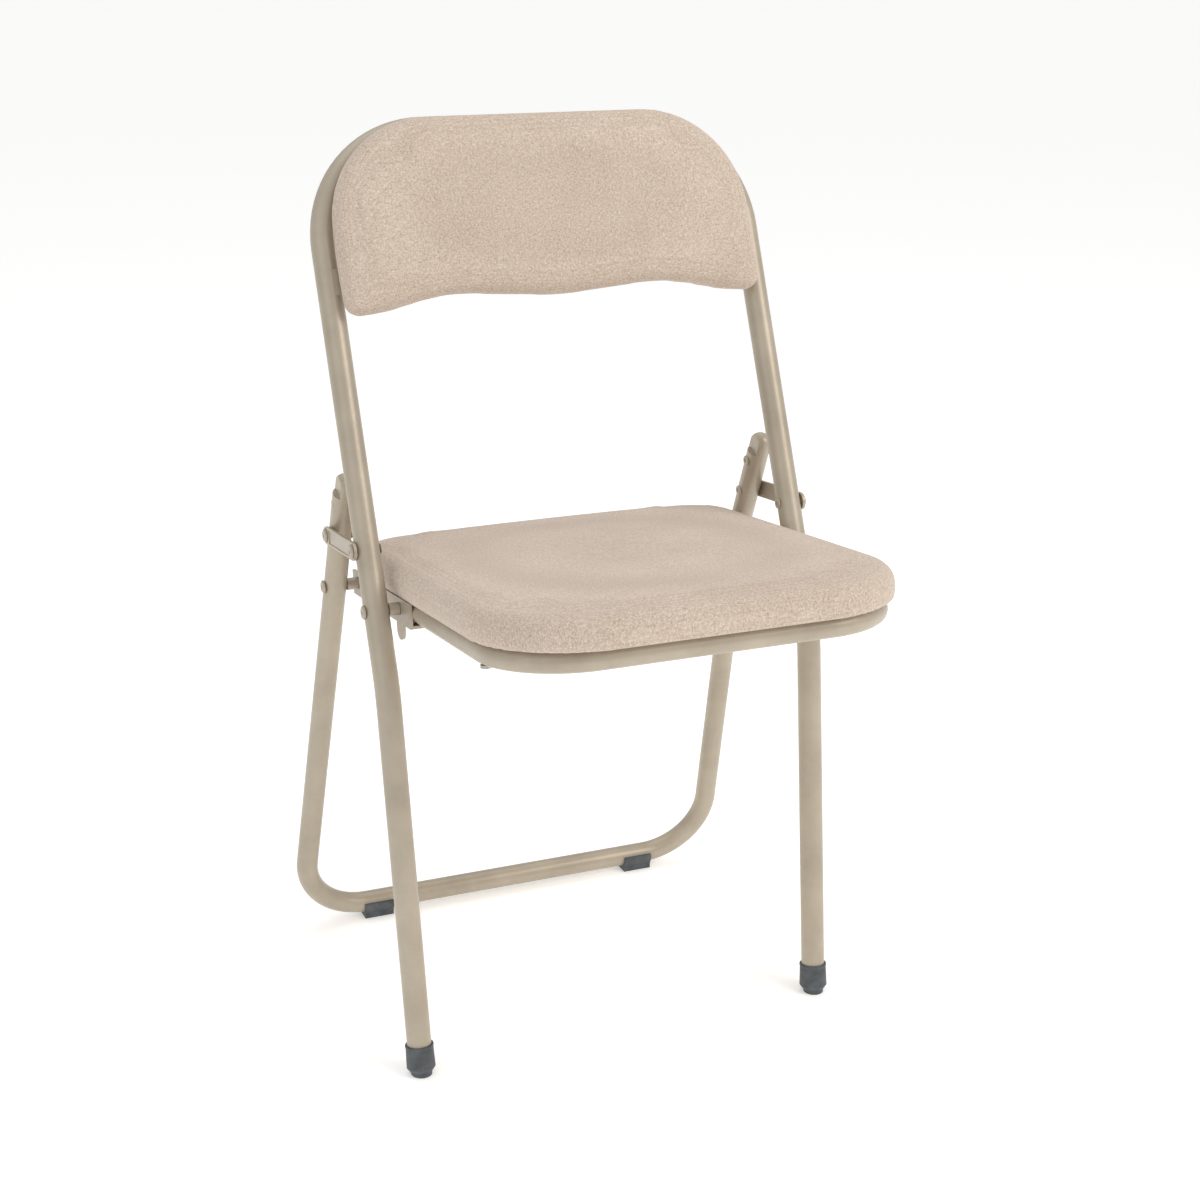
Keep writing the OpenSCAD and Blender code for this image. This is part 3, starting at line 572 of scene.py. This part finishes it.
def alongPathTree(treeName, makeShape, sizes):
    # a node tree that sets one small shape at even steps along a path
    tree = bpy.data.node_groups.new(treeName, "GeometryNodeTree")
    groupSocket(tree, "Path", "NodeSocketGeometry")
    groupSocket(tree, "Spacing", "NodeSocketFloat", sizes["spacing"])
    groupSocket(tree, "Jitter", "NodeSocketFloat", sizes["jitter"])
    groupSocket(tree, "Seed", "NodeSocketInt", sizes["seed"])
    groupSocket(tree, "Finish", "NodeSocketMaterial")
    groupSocket(tree, "Result", "NodeSocketGeometry", direction="OUTPUT")
    start = addNode(tree, "NodeGroupInput")
    line = addNode(tree, "GeometryNodeMeshToCurve", inputs={"Mesh": start.outputs["Path"]})
    points = addNode(tree, "GeometryNodeResampleCurve", {"mode": "LENGTH"}, {
        "Curve": line.outputs["Curve"], "Length": start.outputs["Spacing"]})
    tangent = addNode(tree, "GeometryNodeInputTangent")
    facing = addNode(tree, "FunctionNodeAlignRotationToVector", {"axis": "X"}, {
        "Vector": tangent.outputs["Tangent"]})
    negative = addNode(tree, "ShaderNodeMath", {"operation": "MULTIPLY"})
    tree.links.new(start.outputs["Jitter"], negative.inputs[0])
    negative.inputs[1].default_value = -1.0
    drift = addNode(tree, "FunctionNodeRandomValue", {"data_type": "FLOAT"})
    for name, value in (("Min", negative.outputs["Value"]), ("Max", start.outputs["Jitter"])):
        socket = [s for s in drift.inputs if s.name == name and s.type == "VALUE"][0]
        tree.links.new(value, socket)
    tree.links.new(start.outputs["Seed"], [s for s in drift.inputs if s.name == "Seed"][0])
    driftValue = [s for s in drift.outputs if s.type == "VALUE"][0]
    spin = addNode(tree, "ShaderNodeCombineXYZ", inputs={"Z": driftValue})
    turned = addNode(tree, "FunctionNodeRotateRotation", {"rotation_space": "LOCAL"}, {
        "Rotation": facing.outputs["Rotation"]})
    toRotation = addNode(tree, "FunctionNodeEulerToRotation", inputs={"Euler": spin.outputs["Vector"]})
    tree.links.new(toRotation.outputs["Rotation"], turned.inputs["Rotate By"])
    placed = addNode(tree, "GeometryNodeInstanceOnPoints", inputs={
        "Points": points.outputs["Curve"],
        "Instance": makeShape(tree),
        "Rotation": turned.outputs["Rotation"]})
    real = addNode(tree, "GeometryNodeRealizeInstances", inputs={"Geometry": placed.outputs["Instances"]})
    finish = addNode(tree, "GeometryNodeSetMaterial", inputs={
        "Geometry": real.outputs["Geometry"], "Material": start.outputs["Finish"]})
    addNode(tree, "NodeGroupOutput", inputs={"Result": finish.outputs["Geometry"]})
    return tree


stapleSizes = {"crownMm": 9.5, "wireMm": 0.7, "spacing": 0.030, "jitter": 0.22, "seed": 7, "insetMm": 33}
weldSizes = {"tabHalfMm": 11, "reachMm": 4.2, "topTabMm": 70, "rippleMm": 1.3,
             "spacing": 0.0016, "jitter": 0.5, "seed": 3}


def stapleShape(tree):
    # a staple's crown lies flat on the cloth, and its legs go up into the board
    wire = stapleSizes["wireMm"] * millimetre
    crown = addNode(tree, "GeometryNodeMeshCube", inputs={
        "Size": (stapleSizes["crownMm"] * millimetre, wire * 1.6, wire)})
    legs = []
    for side in (-1, 1):
        leg = addNode(tree, "GeometryNodeMeshCube", inputs={"Size": (wire, wire * 1.6, 3 * wire)})
        legs.append(addNode(tree, "GeometryNodeTransform", inputs={
            "Geometry": leg.outputs["Mesh"],
            "Translation": (side * (stapleSizes["crownMm"] * millimetre - wire) / 2, 0, wire)}))
    joined = addNode(tree, "GeometryNodeJoinGeometry")
    for piece in [crown.outputs["Mesh"]] + [leg.outputs["Geometry"] for leg in legs]:
        tree.links.new(piece, joined.inputs["Geometry"])
    return joined.outputs["Geometry"]


def weldRipple(tree):
    # one flattened drop of a weld bead; the drops overlap like fallen coins
    drop = addNode(tree, "GeometryNodeMeshIcoSphere", inputs={
        "Radius": weldSizes["rippleMm"] * millimetre, "Subdivisions": 2})
    flat = addNode(tree, "GeometryNodeTransform", inputs={
        "Geometry": drop.outputs["Mesh"], "Scale": (0.8, 1.25, 0.8)})
    return flat.outputs["Geometry"]


def layAlongPath(name, paths, closed, tree, finish, turn, body):
    vertices = []
    edges = []
    for path in paths:
        first = len(vertices)
        vertices += path
        edges += [(first + i, first + i + 1) for i in range(len(path) - 1)]
        if closed:
            edges.append((first + len(path) - 1, first))
    mesh = bpy.data.meshes.new(name)
    mesh.from_pydata([tuple(v) for v in vertices], edges, [])
    obj = bpy.data.objects.new(name, mesh)
    bpy.context.scene.collection.objects.link(obj)
    modifier = obj.modifiers.new("laid", "NODES")
    modifier.node_group = tree
    for item in tree.interface.items_tree:
        if item.in_out == "INPUT" and item.name == "Finish":
            modifier[item.identifier] = finish
    bakeModifiers(obj)
    obj.data.transform(turn.inverted().to_4x4())
    smoothShade(obj)
    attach(obj, body)
    return obj


def hemStaples():
    low, high = turnedBox("seat_cover", seatTurn)
    wire = stapleSizes["wireMm"] * millimetre
    loop = seatOutline(low, high, stapleSizes["insetMm"] * millimetre)
    path = [(x, y, low.z - wire * 0.35) for x, y in loop]
    tree = alongPathTree("stapleRow", stapleShape, stapleSizes)
    layAlongPath("hemStaples", [path], True, tree, screwZinc, seatTurn, "seat")


def tabWelds():
    # a bead on each back tab, where it meets the upright or the top bar
    low, high = turnedBox("back_mount_tabs", backTurn)
    half = weldSizes["tabHalfMm"] * millimetre
    reach = weldSizes["reachMm"] * millimetre
    topTab = weldSizes["topTabMm"] * millimetre
    steps = [half * (i / 5 - 1) for i in range(11)]
    paths = []
    for side in (-1, 1):
        paths.append([(side * (high.x - reach), low.y + half + step, low.z) for step in steps])
        paths.append([(side * topTab + step, high.y - reach, low.z) for step in steps])
    tree = alongPathTree("weldBead", weldRipple, weldSizes)
    layAlongPath("tabWelds", paths, False, tree, paintCoat, backTurn, "front")


hemStaples()
tabWelds()
print("stage: staples and welds laid")


# ---------------------------------------------------------------- floor and light

def studioFloor():
    material = newMaterial("paleStudioFloor", {
        "Base Color": linearColour("#FAFAF9"), "Roughness": 0.8, "Specular IOR Level": 0.2,
        "Emission Color": linearColour("#FFFFFF"), "Emission Strength": 0.32})[0]
    reach = 30
    floor = meshObject("studioFloor", [(-reach, -reach, 0), (reach, -reach, 0), (reach, reach, 0),
                                       (-reach, reach, 0)], [(0, 1, 2, 3)])
    floor.data.transform(Matrix.Translation((0, 0, cadBox[0].z - 0.0002)))
    floor.data.materials.append(material)


studioLights = {
    "key": {"place": (1.7, -1.9, 2.3), "size": 1.6, "watts": 34, "tint": "#FFF9F2"},
    "fill": {"place": (-2.4, -1.6, 1.6), "size": 2.4, "watts": 9, "tint": "#F6F8FF"},
    "top": {"place": (0.1, 0.6, 2.8), "size": 2.4, "watts": 14, "tint": "#FFFFFF"},
}
worldStrength = 0.66


def studioLight():
    target = (cadBox[0] + cadBox[1]) / 2
    for name, light in studioLights.items():
        lamp = bpy.data.lights.new(name, "AREA")
        lamp.size = light["size"]
        lamp.energy = light["watts"]
        lamp.color = linearColour(light["tint"])[:3]
        holder = bpy.data.objects.new(name, lamp)
        bpy.context.scene.collection.objects.link(holder)
        place = Vector(light["place"])
        aim = (place - target).to_track_quat("Z", "Y").to_matrix().to_4x4()
        holder.matrix_world = Matrix.Translation(place) @ aim
    world = bpy.data.worlds.new("softRoom")
    bpy.context.scene.world = world
    world.use_nodes = True
    sky = world.node_tree.nodes["Background"]
    sky.inputs["Color"].default_value = linearColour("#FFFFFF")
    # white behind the chair, with a dimmer room round it
    rays = addNode(world.node_tree, "ShaderNodeLightPath")
    strength = addNode(world.node_tree, "ShaderNodeMapRange", inputs={
        "Value": rays.outputs["Is Camera Ray"], "To Min": worldStrength, "To Max": 1.0})
    world.node_tree.links.new(strength.outputs["Result"], sky.inputs["Strength"])
    bpy.context.scene.view_settings.view_transform = "Standard"


studioFloor()
studioLight()
print("stage: floor and light set")
